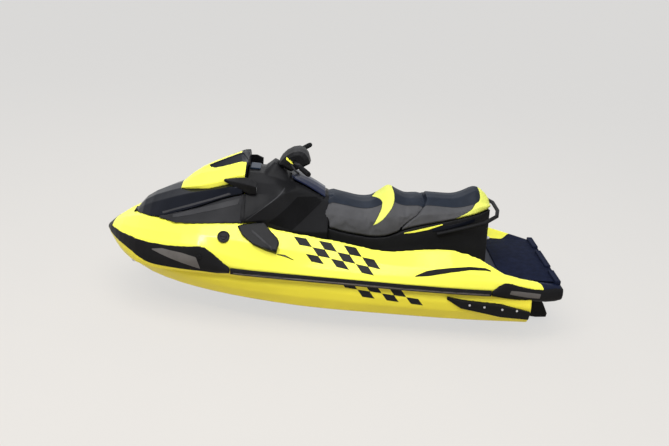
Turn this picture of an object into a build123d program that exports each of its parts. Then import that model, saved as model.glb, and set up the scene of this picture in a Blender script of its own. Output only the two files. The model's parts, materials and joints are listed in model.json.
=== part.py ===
from build123d import *
import math
import os

os.makedirs("parts", exist_ok=True)

# driving sizes in mm: +X to the bow, +Y to port, +Z up, the floor at z 0
bow_tip = 1683
stern_end = -1645
joint_z = 440
sheer = 0.032
rail_height = 45
rail_proud = 6
pump_z = 122
pump_x = -1290
bore_r = 76
housing_r = bore_r + 20
nozzle_pivot_x = -1400
bucket_pivot = (-1440, 122)
steer_base = (450, 1030)
steer_lean = 35
hood_pivot = (1478, 651)
lid_pivot = (336, 1011)
bar_r = 11
grip_r = 17
floor_z = 436

# half breadth of the joint line between hull and deck
plan = [
    (-1650, 455), (-1450, 520), (-1200, 565), (-950, 590), (-600, 605), (-250, 610),
    (150, 611), (450, 609), (700, 600), (950, 560), (1200, 503), (1400, 415),
    (1540, 283), (1640, 120), (1683, 20),
]


def between(table, x, col=1):
    if x <= table[0][0]:
        return table[0][col]
    for a, b in zip(table, table[1:]):
        if x <= b[0]:
            t = (x - a[0]) / (b[0] - a[0])
            return a[col] + t * (b[col] - a[col])
    return table[-1][col]


def refine(table, step):
    # the table's rows with more between them on smooth curves
    def slope(i, c):
        lo, hi = max(i - 1, 0), min(i + 1, len(table) - 1)
        return (table[hi][c] - table[lo][c]) / (table[hi][0] - table[lo][0])
    fine = []
    for i in range(len(table) - 1):
        a, b = table[i], table[i + 1]
        h = b[0] - a[0]
        n = max(1, math.ceil(abs(h) / step - 0.3))
        for k in range(n):
            t = k / n
            row = [a[0] + h * t]
            for c in range(1, len(a)):
                f = (2 * t ** 3 - 3 * t ** 2 + 1) * a[c] + (3 * t ** 2 - 2 * t ** 3) * b[c]
                row.append(f + (t ** 3 - 2 * t ** 2 + t) * h * slope(i, c) + (t ** 3 - t ** 2) * h * slope(i + 1, c))
            fine.append(tuple(row))
    return fine + [table[-1]]


plan = refine(plan, 40)


def half_breadth(x):
    return between(plan, x)


def joint_at(x):
    return joint_z + sheer * x


def section(x, half):
    left = [(x, y, z) for y, z in half]
    right = [(x, -y, z) for y, z in reversed(half) if y > 0.01]
    return Face(Wire.make_polygon(left + right, close=True))


def skin(rows):
    return loft([section(x, half) for x, half in rows], ruled=True)


def side(rows):
    faces = []
    for x, pts in rows:
        faces.append(Face(Wire.make_polygon([(x, y, z) for y, z in pts], close=True)))
    return loft(faces, ruled=True)


def plate_xz(pts, y0, y1):
    face = Face(Wire.make_polygon([(x, y0, z) for x, z in pts], close=True))
    return extrude(face, amount=y1 - y0, dir=(0, 1, 0))


def block(x0, x1, y0, y1, z0, z1):
    return Pos((x0 + x1) / 2, (y0 + y1) / 2, (z0 + z1) / 2) * Box(x1 - x0, y1 - y0, z1 - z0)


def rod(a, b, r):
    a, b = Vector(*a), Vector(*b)
    d = b - a
    return extrude(Plane(origin=a, z_dir=d) * Circle(r), amount=d.length)


def tube_path(pts, r):
    start = Plane(origin=pts[0], z_dir=Vector(*pts[1]) - Vector(*pts[0]))
    return sweep(start * Circle(r), path=Polyline(*pts), transition=Transition.RIGHT)


def along_x(x0, x1, r0, r1, z=pump_z):
    a = Plane(origin=(x0, 0, z), z_dir=(1, 0, 0)) * Circle(r0)
    b = Plane(origin=(x1, 0, z), z_dir=(1, 0, 0)) * Circle(r1)
    return loft([a.face(), b.face()], ruled=True)


def port_part(shape):
    return shape & block(-2000, 2000, 0.0, 900, -50, 1500)


def mirrored(shape):
    return mirror(shape, about=Plane.XZ)


def largest(shape):
    solids = sorted(shape.solids(), key=lambda s: s.volume)
    return solids[-1]


nodes = {}

# hull: x, keel z, pad y, then strake, chine, bulge, band and recess as y, z
hull_table = [
    (-1420, 8, 150, 330, 88, 495, 160, 536, 235, 540, 300, 522, 350),
    (-950, 0, 130, 330, 85, 520, 165, 566, 250, 575, 318, 556, 366),
    (-400, 0, 80, 310, 82, 530, 178, 575, 265, 584, 335, 566, 384),
    (150, 0, 50, 290, 85, 528, 195, 572, 285, 580, 352, 566, 398),
    (600, 22, 25, 255, 108, 500, 225, 545, 305, 560, 362, 550, 403),
    (950, 85, 15, 205, 150, 430, 248, 478, 322, 500, 368, 490, 393),
    (1200, 145, 12, 160, 192, 350, 276, 395, 340, 415, 370, 405, 390),
    (1400, 217, 10, 115, 257, 255, 322, 290, 360, 310, 383, 303, 398),
    (1540, 312, 9, 62, 345, 138, 396, 172, 410, 192, 420, 190, 428),
    (1640, 404, 8, 30, 418, 54, 444, 72, 457, 86, 466, 84, 474),
]
rows = []
for r in refine(hull_table, 130):
    x, keel = r[0], r[1]
    pts = [(r[i], r[i + 1]) for i in range(3, 13, 2)]
    top = (half_breadth(x) - 20, joint_at(x))
    rows.append((x, [(r[2], keel)] + pts + [top]))
hull_full = skin(rows)
tunnel = block(-1500, -935, -128, 128, -20, 235)
intake = loft([
    Face(Wire.make_polygon([(-860, -80, -5), (-520, -80, -5), (-520, 80, -5), (-860, 80, -5)], close=True)),
    Face(Wire.make_polygon([(-935, -62, pump_z - 50), (-905, -62, pump_z + 55),
                            (-905, 62, pump_z + 55), (-935, 62, pump_z - 50)], close=True)),
], ruled=True)
engine_bay = block(-480, 330, -235, 235, 95, 560)
hull = largest(hull_full - tunnel - intake - engine_bay - along_x(-940, -780, 20, 20))

# deck: x, edge inset, edge rise, then shoulder, side, crest, well outer and well inner as y, z
deck_table = [
    (-1640, 4, 18, 450, 415, 440, 430, 420, 436, 400, 436, 250, 436),
    (-1450, 6, 24, 508, 440, 490, 465, 460, 472, 430, 438, 250, 438),
    (-1200, 9, 26, 548, 480, 525, 512, 488, 528, 425, 442, 250, 442),
    (-1030, 9, 26, 563, 488, 535, 532, 430, 606, 380, 445, 250, 445),
    (-820, 9, 26, 575, 490, 540, 545, 405, 652, 348, 448, 250, 448),
    (-600, 9, 26, 580, 492, 538, 545, 402, 640, 345, 450, 250, 450),
    (-420, 9, 26, 577, 498, 522, 550, 403, 614, 346, 453, 250, 453),
    (-250, 9, 26, 575, 502, 510, 562, 405, 620, 350, 456, 250, 456),
    (-116, 9, 26, 576, 507, 513, 575, 411, 650, 356, 460, 250, 460),
    (150, 9, 26, 578, 515, 520, 597, 421, 692, 365, 466, 250, 466),
    (450, 9, 27, 585, 530, 545, 640, 440, 736, 400, 722, 250, 690),
    (700, 9, 30, 585, 560, 535, 672, 450, 760, 400, 747, 250, 740),
    (950, 9, 90, 545, 612, 490, 684, 430, 736, 380, 724, 250, 720),
    (1200, 9, 82, 480, 602, 430, 658, 350, 716, 300, 707, 200, 705),
    (1400, 9, 75, 390, 590, 330, 635, 200, 685, 150, 680, 100, 680),
    (1540, 9, 60, 255, 575, 200, 600, 90, 622, 60, 620, 40, 620),
    (1640, 8, 40, 95, 548, 70, 556, 30, 562, 20, 562, 10, 562),
]
stern_drop = 55
rows = []
for r in refine(deck_table, 110):
    x = r[0]
    y, z = half_breadth(x), joint_at(x)
    low = z - stern_drop if x < -1400 else z
    pts = [(r[i], r[i + 1]) for i in range(3, 13, 2)]
    rows.append((x, [(0, low), (y - 20, low), (y - r[1], z + r[2])] + pts + [(0, pts[-1][1])]))
deck_full = skin(rows) - hull_full
tub_hole = block(760, 1180, -230, 230, 500, 900)
deck = deck_full - block(-480, 330, -235, 235, 95, 560) - tub_hole
deck = deck - rod((hood_pivot[0], -46, hood_pivot[1]), (hood_pivot[0], 46, hood_pivot[1]), 11.5)
deck = largest(deck)

# bow bumper: x, top z, low z
bumper_table = [
    (722, 487, 440), (900, 613, 418), (1000, 606, 413), (1150, 590, 402), (1280, 585, 395),
    (1400, 583, 402), (1500, 577, 428), (1580, 566, 460), (1640, 550, 482), (1683, 522, 496),
]


def band(table, proud, tuck, inset):
    rows = []
    for x, top, low in refine(table, 60):
        y = max(half_breadth(x) + proud, 24)
        mid = (top + low) / 2
        rows.append((x, [(0, low), (y - tuck * 1.6, low), (y - tuck * 0.5, low + (mid - low) * 0.4),
                         (y, mid), (y - tuck * 0.4, top - (top - mid) * 0.4), (y - inset, top), (0, top)]))
    return skin(rows)


bumper = band(bumper_table, 7, 16, 15) - hull_full - deck_full
bow_bumper = largest(bumper)
nodes["bow_bumper"] = bow_bumper

rail_table = [(x, joint_at(x) + rail_height / 2, joint_at(x) - rail_height / 2)
              for x in range(-1108, 717, 152)]
rail = port_part(band(rail_table, rail_proud, 8, 8) - hull_full - deck_full)
rail = largest(rail)
nodes["rub_rail_left"] = rail
nodes["rub_rail_right"] = mirrored(rail)

stern_table = [(-1655, 418, 332), (-1600, 428, 322), (-1530, 430, 325), (-1433, 434, 338),
               (-1300, 462, 352), (-1200, 484, 366), (-1114, 428, 381)]
stern = band(stern_table, 7, 12, 14) - hull_full - deck_full
stern = stern - block(-1632, -1000, -400, 400, 250, 500)
nodes["stern_bumper"] = largest(stern)

# hood: x, centre z, shoulder y z, rim y z
hood_table = [
    (1486, 640, 30, 636, 45, 625),
    (1400, 748, 110, 725, 190, 678),
    (1266, 820, 170, 795, 300, 722),
    (1100, 880, 205, 862, 335, 786),
    (950, 930, 250, 915, 345, 846),
    (780, 985, 320, 975, 350, 918),
    (672, 1010, 330, 1000, 352, 950),
]
rows = []
for x, zc, ys, zs, yr, zr in refine(hood_table, 60):
    low = zr - 12
    rows.append((x, [(0, low), (yr - 8, low), (yr, zr), (ys, zs), (ys * 0.4, zc), (0, zc)]))
hood = skin(rows)
hx, hz = hood_pivot
hood = hood - Pos(0, 0, 1.5) * deck_full - block(hx, hx + 40, -80, 80, 560, 720)
hood = hood - rod((hx, -60, hz), (hx, -23, hz), 13) - rod((hx, 23, hz), (hx, 60, hz), 13)
hood = hood + rod((hx, -22, hz), (hx, 22, hz), 10)
hood = largest(hood - rod((hx, -30, hz), (hx, 30, hz), 5.3))
nodes["hood"] = hood

hinge = rod((hx, -44, hz), (hx, 44, hz), 5)
for s in (1, -1):
    hinge = hinge + rod((hx, 26 * s, hz), (hx, 42 * s, hz), 9) + block(hx - 9, hx + 9, 34 * s - 8, 34 * s + 8, 625, hz)
nodes["hood_hinge"] = largest(hinge - deck - hood)

# cowl: x, spine z y, wing inner y z, wing outer y z, rim y z, with an inset between spine and wing
cowl_table = [
    (1135, 890, 12, 26, 889, 42, 887, 92, 876),
    (1068, 954, 16, 42, 949, 70, 944, 150, 906),
    (992, 1012, 20, 50, 1004, 96, 994, 200, 933),
    (924, 1050, 24, 60, 1036, 125, 1022, 245, 966),
    (896, 1064, 26, 88, 1040, 140, 1030, 255, 978),
    (840, 1090, 28, 116, 1062, 160, 1052, 268, 998),
    (800, 1109, 29, 132, 1080, 172, 1066, 272, 1024),
    (721, 1144, 30, 156, 1114, 192, 1098, 280, 1052),
    (697, 1148, 30, 161, 1122, 197, 1104, 282, 1058),
    (661, 1100, 32, 168, 1124, 204, 1110, 284, 1068),
]
rows = []
for x, zs, ysp, ywi, zwi, ywo, zwo, yr, zr in cowl_table:
    base = zr - 90 if x < 990 else zr - 30
    dip = 1 if x > 960 else 6
    rows.append((x, [(0, base), (yr - 10, base), (yr, zr), (ywo, zwo), (ywi, zwi),
                     (ywi - 4, zwi - dip), (ysp + 4, zs - dip), (ysp, zs), (0, zs)]))
cowl = skin(rows) - hood
cowl = largest(cowl)
nodes["cowl"] = cowl

# mirrors: x, then four corners
mirror_left = side([
    (806, [(284, 1008), (306, 1012), (310, 1026), (284, 1028)]),
    (690, [(286, 985), (338, 966), (352, 1024), (288, 1046)]),
    (620, [(312, 972), (354, 942), (380, 1020), (292, 1050)]),
    (574, [(322, 966), (356, 950), (374, 1006), (318, 1018)]),
]) - cowl - hood
mirror_left = largest(mirror_left)
nodes["mirror_left"] = mirror_left
nodes["mirror_right"] = mirrored(mirror_left)

# side panel: x, low y z, bevel y z
panel_table = [
    (1255, 322, 720, 306, 728), (1125, 412, 724, 333, 774), (950, 438, 738, 343, 830),
    (800, 447, 754, 349, 896), (662, 446, 764, 352, 938),
]
rows = []
for x, yl, zl, yb, zb in refine(panel_table, 90):
    rows.append((x, [(yl, zl), (yb, zb), (yb - 36, zb - 4), (yl - 110, zl - 10)]))
panel = side(rows) - deck - hood
panel = largest(panel - Pos(0, 0, -6) * hood)
nodes["side_panel_left"] = panel
nodes["side_panel_right"] = mirrored(panel)

# console: x, centre z, then crown, dash edge, shoulder, knee edge, wall and foot as y, z
console_table = [
    (655, 1050, 110, 1034, 228, 996, 342, 935, 442, 785, 441, 765, 400, 740),
    (560, 1048, 108, 1032, 225, 992, 330, 944, 425, 848, 432, 780, 405, 738),
    (500, 1045, 105, 1029, 222, 989, 316, 946, 400, 889, 415, 790, 408, 735),
    (440, 1036, 102, 1020, 214, 984, 292, 956, 366, 928, 398, 800, 404, 727),
    (380, 1024, 100, 1006, 203, 977, 260, 966, 316, 958, 378, 800, 400, 720),
    (310, 1000, 98, 985, 180, 966, 205, 961, 236, 950, 346, 795, 392, 712),
    (200, 958, 90, 941, 150, 920, 165, 913, 182, 900, 286, 775, 345, 690),
    (60, 886, 80, 877, 135, 852, 148, 846, 158, 836, 258, 742, 305, 684),
]
rows = []
for r in refine(console_table, 45):
    pts = [(r[i], r[i + 1]) for i in range(2, 14, 2)]
    rows.append((r[0], [(0, 425), (pts[-1][0] - 6, 425)] + pts[::-1] + [(0, r[1])]))
console = skin(rows) - deck - panel - mirrored(panel) - hull
lean = math.radians(steer_lean)
axis_dir = (-math.sin(lean), 0, math.cos(lean))
across = (math.cos(lean), 0, math.sin(lean))


def on_axis(s, u=0, y=0):
    return (steer_base[0] + s * axis_dir[0] + u * across[0], y,
            steer_base[1] + s * axis_dir[2] + u * across[2])


def steer_plane(s):
    return Plane(origin=on_axis(s), x_dir=across, z_dir=axis_dir)


shroud = loft([
    (Plane(origin=(467, 0, 972), x_dir=(1, 0, 0), z_dir=(0, 0, 1)) * RectangleRounded(266, 370, 70)).face(),
    (steer_plane(48) * RectangleRounded(122, 142, 34)).face(),
], ruled=True)
console = console + shroud - block(-480, 330, -235, 235, 95, 560)
console = console - extrude(steer_plane(10) * Circle(27.4), amount=80)

# glovebox under its lid
lid_table = [(330, 1016, 1016), (270, 1001, 989), (215, 980, 962), (150, 948, 926), (90, 914, 890)]
lx, lz = lid_pivot
glove_cut = plate_xz([(322, 900), (322, 1080), (100, 1080), (100, 850), (120, 800), (290, 830)], -110, 110)
rows = []
for x, zc, ze in lid_table:
    top = [(-122, ze), (-62, ze + (zc - ze) * 0.75), (0, zc), (62, ze + (zc - ze) * 0.75), (122, ze)]
    rows.append((x, top + [(y, z - 13) for y, z in reversed(top)]))
lid = side(rows)
lid = lid - rod((lx, -130, lz), (lx, -103, lz), 10.5) - rod((lx, 103, lz), (lx, 130, lz), 10.5)
lid = lid + rod((lx, -100, lz), (lx, 100, lz), 7)
lid = lid - rod((lx, -130, lz), (lx, 130, lz), 3.4)
console = console - glove_cut - rod((lx, -103, lz), (lx, 103, lz), 8.5)
for s in (1, -1):
    console = console + block(lx - 7, lx + 7, 113 * s - 8, 113 * s + 8, 955, lz) + rod((lx, 105 * s, lz), (lx, 121 * s, lz), 7)
console = console + rod((lx, -112, lz), (lx, 112, lz), 3)
console = largest(console - lid)
nodes["console"] = console
nodes["glovebox_lid"] = largest(lid)

screen = plate_xz([(648, 1030), (572, 1030), (570, 1052), (644, 1055)], -64, 64) - console
nodes["display"] = largest(screen)

# seats: x, top centre z, edge y z, low y z
seat_table = [
    (128, 862, 120, 840, 268, 712),
    (60, 902, 140, 868, 270, 700),
    (-48, 880, 150, 846, 268, 672),
    (-170, 854, 152, 824, 266, 655),
    (-255, 866, 155, 830, 265, 645),
    (-325, 920, 158, 862, 264, 650),
    (-376, 958, 160, 890, 264, 660),
    (-430, 934, 160, 880, 262, 684),
    (-500, 903, 158, 866, 260, 718),
    (-566, 908, 158, 870, 258, 742),
    (-640, 920, 158, 876, 256, 762),
    (-850, 922, 156, 870, 248, 815),
    (-920, 946, 153, 882, 242, 836),
    (-1006, 994, 146, 912, 222, 856),
    (-1056, 984, 130, 915, 190, 866),
    (-1100, 948, 112, 908, 158, 873),
    (-1140, 898, 80, 890, 105, 882),
]


def seat(rows_in):
    rows = []
    for x, zc, ye, ze, yl, zl in refine(rows_in, 36):
        rows.append((x, [(0, zl - 8), (yl - 14, zl - 8), (yl, zl + 10), ((ye + yl) / 2 + 22, (ze + zl) / 2 + 14),
                         (ye, ze), (ye * 0.45, ze + (zc - ze) * 0.85), (0, zc)]))
    return skin(rows)


whole_seat = seat(seat_table)
seam = [(-596, 1100), (-640, 930), (-650, 890), (-610, 846), (-541, 789), (-467, 720), (-440, 600), (-1300, 600), (-1300, 1100)]
front_seat = largest(whole_seat - plate_xz(seam, -330, 330))
rear_seat = largest(whole_seat & (Pos(-5, 0, 0) * plate_xz(seam, -330, 330)))

# seat base: x, half breadth at foot, at top
base_table = [
    (66, 285, 262, 700), (-48, 288, 262, 676), (-170, 290, 260, 658), (-255, 290, 258, 648),
    (-374, 290, 257, 664), (-510, 288, 252, 722), (-640, 285, 248, 764), (-880, 278, 238, 826),
    (-1030, 255, 195, 862), (-1120, 215, 130, 876),
]
rows = []
for x, yf, yt, zt in refine(base_table, 60):
    rows.append((x, [(0, 425), (yf, 425), (yf, 470), ((yf + yt) / 2 - 6, (470 + zt) / 2), (yt, zt), (0, zt)]))
seat_base = skin(rows) - deck - hull - block(-480, 330, -235, 235, 95, 560)
seat_base = seat_base - front_seat - rear_seat - console
nodes["seat_base"] = largest(seat_base)
front_seat = front_seat - console
nodes["front_seat"] = largest(front_seat - nodes["glovebox_lid"])
nodes["rear_seat"] = largest(rear_seat)

handle = tube_path([(-730, 262, 705), (-900, 272, 762), (-1060, 262, 812), (-1160, 190, 846), (-1185, 90, 856),
                    (-1185, -90, 856), (-1160, -190, 846), (-1060, -262, 812), (-900, -272, 762),
                    (-730, -262, 705)], 14)
handle = handle - nodes["seat_base"] - nodes["rear_seat"]
nodes["grab_handle"] = largest(handle)

# vent on the shoulder, in the plane of the slope: x and the way up the slope
vent_plane = Plane(origin=(540, 452, 752), x_dir=(1, 0, 0), z_dir=(0, 0.7071, 0.7071))
vent_out = [(690, -10), (508, 26), (455, -36), (407, -85), (394, -117), (409, -186), (485, -170), (570, -142), (650, -78)]
local = [(x - 540, -s) for x, s in vent_out]
vent = extrude(vent_plane * make_face(Polyline(*local, close=True)), amount=14)
vent = vent + extrude(vent_plane * make_face(Polyline(*local, close=True)), amount=-60)
vent = largest(vent - deck - console - panel)
nodes["vent_left"] = vent
nodes["vent_right"] = mirrored(vent)

cap_plane = Plane(origin=(776, 518, 684), x_dir=(1, 0, 0), z_dir=(0, 0.7071, 0.7071))
cap = extrude(cap_plane * Circle(43), amount=6) + extrude(cap_plane * Circle(43), amount=-60) - deck
nodes["fuel_cap"] = largest(cap)

eye_x, eye_z, eye_r = 1500, 249, 11
lug = rod((eye_x, -8, eye_z), (eye_x, 8, eye_z), 22)
lug = lug + plate_xz([(eye_x - 20, eye_z - 8), (eye_x - 34, 300), (eye_x + 22, 330), (eye_x + 21, eye_z)], -8, 8)
lug = lug - hull - rod((eye_x, -20, eye_z), (eye_x, 20, eye_z), eye_r)
nodes["bow_eye"] = largest(lug)

hook_x = -1156
hook = block(hook_x, -1100, -24, 24, 596, 608) + rod((hook_x, 0, 596), (hook_x, 0, 608), 24)
hook = hook - rod((hook_x, 0, 580), (hook_x, 0, 620), 10) - nodes["seat_base"]
nodes["tow_hook"] = largest(hook)

tub = block(760, 1180, -230, 230, 500, 706) - block(772, 1168, -218, 218, 512, 760)
nodes["storage_tub"] = tub

mat_left = side([
    (-1180, [(285, 430), (415, 430), (415, 448), (285, 448)]),
    (-950, [(288, 430), (338, 430), (338, 452), (288, 452)]),
    (-250, [(298, 440), (344, 440), (344, 462), (298, 462)]),
    (140, [(298, 450), (358, 450), (358, 472), (298, 472)]),
]) - deck - nodes["seat_base"] - nodes["console"]
mat_left = largest(mat_left)
nodes["footwell_mat_left"] = mat_left
nodes["footwell_mat_right"] = mirrored(mat_left)
platform_mat = block(-1638, -1215, -395, 395, 430, 450) - deck - nodes["footwell_mat_left"]
platform_mat = platform_mat - nodes["footwell_mat_right"]
nodes["platform_mat"] = largest(platform_mat)

sponson = side([
    (-1412, [(470, 196), (540, 200), (560, 268), (500, 276)]),
    (-1200, [(480, 212), (575, 226), (592, 318), (520, 330)]),
    (-905, [(490, 240), (592, 286), (598, 344), (530, 352)]),
    (-800, [(520, 330), (585, 345), (590, 362), (540, 366)]),
]) - hull
sponson = largest(sponson)
nodes["sponson_left"] = sponson
nodes["sponson_right"] = mirrored(sponson)

nodes["engine_block"] = block(-420, 250, -190, 190, 95, 500)
nodes["hull"] = hull
nodes["deck"] = deck

# jet pump
ride = block(-1480, -940, -148, 148, 0, 10) - hull
ride = ride - along_x(-1500, -930, housing_r + 2, housing_r + 2)
nodes["ride_plate"] = largest(ride)
housing = along_x(pump_x, -935, housing_r, housing_r) + along_x(-1350, pump_x, 52, housing_r)
housing = housing + along_x(-1392, -1350, 52, 52)
housing = housing - along_x(pump_x - 0.5, -930, bore_r, bore_r) - along_x(-1350, pump_x, 44, bore_r)
housing = housing - along_x(-1400, -1349, 44, 44)
housing = housing + along_x(-1285, -1130, 34, 34)
for k in range(6):
    vane = Pos(-1207, 0, pump_z) * Rot(60 * k + 30, 0, 0) * Pos(0, 0, (bore_r + 36) / 2) * Box(110, 6, bore_r - 30)
    housing = housing + vane
bx, bz = bucket_pivot
ear = [(-1265, bz - 34), (-1265, bz + 34), (bx, bz + 20), (bx - 20, bz + 8), (bx - 20, bz - 8), (bx, bz - 20)]
for s in (1, -1):
    arm = plate_xz(ear, (housing_r - 12) * s - 5, (housing_r - 12) * s + 5)
    pin = rod((bx, (housing_r - 16) * s, bz), (bx, 124 * s, bz), 9)
    tab = block(-1410, -1370, -9, 9, pump_z + 50 * s - 4.5, pump_z + 50 * s + 4.5)
    post = rod((nozzle_pivot_x, 0, pump_z + 50 * s), (nozzle_pivot_x, 0, pump_z + 74 * s), 6)
    housing = housing + (arm - along_x(-1500, -930, bore_r, bore_r)) + pin + tab + post
housing = housing - along_x(-1290, -1110, 14.3, 14.3)
housing = housing - nodes["ride_plate"] - hull
nodes["pump_housing"] = largest(housing)

hub = along_x(-1112, -960, 34, 26)
impeller = hub + along_x(-1180, -820, 14, 14)
for k in range(3):
    blade = Pos(-1040, 0, pump_z) * Rot(120 * k, 0, 0) * Rot(0, 0, 52) * Pos(0, 0, (bore_r + 24) / 2) * Box(112, 7, bore_r - 32)
    impeller = impeller + blade
limit = along_x(-1200, -800, bore_r - 2, bore_r - 2)
impeller = impeller & limit
impeller = largest(impeller)
nodes["impeller"] = impeller

jet = along_x(-1450, -1385, 51, 72) + along_x(-1535, -1450, 46, 51)
jet = jet - along_x(-1450, -1384, 45, 66.3) - along_x(-1536, -1449.9, 40, 45)
jet = jet - rod((nozzle_pivot_x, 0, 20), (nozzle_pivot_x, 0, 220), 6.4)
nodes["steering_nozzle"] = largest(jet)

outer = [(bx + 22, bz + 22), (bx + 22, bz - 22), (bx - 22, bz - 30), (bx - 90, 26), (bx - 160, 20),
         (bx - 238, 26), (bx - 243, 56), (bx - 200, 140), (bx - 150, 182), (bx - 60, 188), (bx - 22, bz + 24)]
scoop = [(bx + 60, 5), (bx - 66, 5), (bx - 160, 31), (bx - 228, 36), (bx - 231, 56), (bx - 190, 134),
         (bx - 146, 172), (bx - 60, 177), (bx + 60, 230)]
bucket = plate_xz(outer, -122, 122) - plate_xz(scoop, -112, 112)
bucket = bucket - rod((bx, -112, bz), (bx, 112, bz), 113)
bucket = bucket - rod((bx, -130, bz), (bx, 130, bz), 9.4)
nodes["reverse_bucket"] = largest(bucket)

grate = block(-840, -540, -76, 76, 2, 12) - block(-830, -550, -66, 66, -2, 20)
for y in (-44, -22, 0, 22, 44):
    grate = grate + block(-835, -545, y - 4, y + 4, 2, 12)
nodes["intake_grate"] = largest(grate - hull)

# steering: the stem, the pad, the bars
nodes["steering_stem"] = rod(on_axis(16), on_axis(66), 27)
pad_profile = [(444, 1092), (424, 1130), (388, 1168), (342, 1196), (295, 1206), (256, 1194), (226, 1160), (210, 1114),
               (285, 1068), (357, 1043)]
faces = []
for y, k in ((-104, 0.7), (-84, 0.95), (0, 1.0), (84, 0.95), (104, 0.7)):
    pts = [(330 + (x - 330) * k, y, 1118 + (z - 1118) * k) for x, z in pad_profile]
    faces.append(Face(Wire.make_polygon(pts, close=True)))
pad = loft(faces, ruled=True)
bars = tube_path([(223, 385, 1128), (300, 200, 1130), (330, 90, 1124), (330, -90, 1124), (300, -200, 1130),
                  (223, -385, 1128)], bar_r)
grip = rod((222, 388, 1128), (283, 243, 1129.4), grip_r)
nodes["grip_left"] = largest(grip - bars)
nodes["grip_right"] = mirrored(nodes["grip_left"])
nodes["handlebar"] = bars
nodes["bar_pad"] = largest(pad - bars - rod(on_axis(14), on_axis(67), 27.1))
lever = tube_path([(318, 150, 1128), (345, 190, 1126), (318, 290, 1120), (292, 345, 1118)], 7)
lever = lever - bars - nodes["grip_left"]
nodes["lever_left"] = largest(lever)
nodes["lever_right"] = mirrored(nodes["lever_left"])

# boarding step folded flat under the platform
hinge_x, hinge_z = -1612, 292
step = tube_path([(hinge_x, -235, hinge_z), (-1440, -235, hinge_z), (-1440, -430, hinge_z),
                  (hinge_x, -430, hinge_z)], 11)
step = step + rod((hinge_x, -246, hinge_z), (hinge_x, -224, hinge_z), 13)
step = step + rod((hinge_x, -441, hinge_z), (hinge_x, -419, hinge_z), 13)
nodes["boarding_step"] = largest(step - rod((hinge_x, -450, hinge_z), (hinge_x, -210, hinge_z), 6.3))
hinge = rod((hinge_x, -446, hinge_z), (hinge_x, -218, hinge_z), 6)
hinge = hinge + block(hinge_x - 12, hinge_x + 12, -412, -253, hinge_z - 10, hinge_z + 60)
nodes["step_hinge"] = largest(hinge - deck - nodes["stern_bumper"])

for name, shape in nodes.items():
    solids = shape.solids()
    box = shape.bounding_box()
    print(name, len(solids), [round(v) for v in (box.min.X, box.min.Y, box.min.Z, box.max.X, box.max.Y, box.max.Z)])
    export_step(shape, "parts/" + name + ".step")
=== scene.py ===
import bpy
import json
import math
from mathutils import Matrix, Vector


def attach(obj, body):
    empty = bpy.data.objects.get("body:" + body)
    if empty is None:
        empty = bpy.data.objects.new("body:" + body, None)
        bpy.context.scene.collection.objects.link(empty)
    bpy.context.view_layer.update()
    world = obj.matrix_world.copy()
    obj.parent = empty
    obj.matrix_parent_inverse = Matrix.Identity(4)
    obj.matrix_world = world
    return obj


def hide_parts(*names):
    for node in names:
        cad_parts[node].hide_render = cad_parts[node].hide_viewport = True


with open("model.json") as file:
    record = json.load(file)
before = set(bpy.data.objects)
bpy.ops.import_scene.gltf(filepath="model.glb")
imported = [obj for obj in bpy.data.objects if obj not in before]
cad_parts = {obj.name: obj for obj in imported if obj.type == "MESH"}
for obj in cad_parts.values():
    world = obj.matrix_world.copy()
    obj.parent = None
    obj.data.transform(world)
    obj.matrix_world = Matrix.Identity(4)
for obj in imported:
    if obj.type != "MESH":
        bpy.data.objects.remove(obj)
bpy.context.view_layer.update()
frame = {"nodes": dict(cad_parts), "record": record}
nodes = frame["nodes"]
record = frame["record"]
bodyOf = {node: body for body, members in record["behaviour"]["bodies"].items() for node in members}
slotOf = {entry["node"]: entry["material_slot"] for entry in record["subparts"]}
print("frame loaded")

# camera: the photograph's view from the port side
view = {"place": (0.243, 5.558, 2.748), "turn": (69.204, -4.329, 179.065), "lens": 42.6, "sensor": 36,
        "shift": -0.0021}
cameraData = bpy.data.cameras.new("photoCamera")
cameraData.lens = view["lens"]
cameraData.sensor_width = view["sensor"]
cameraData.shift_x = view["shift"]
camera = bpy.data.objects.new("photoCamera", cameraData)
bpy.context.scene.collection.objects.link(camera)
camera.location = view["place"]
camera.rotation_euler = [math.radians(angle) for angle in view["turn"]]
bpy.context.scene.camera = camera


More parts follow.
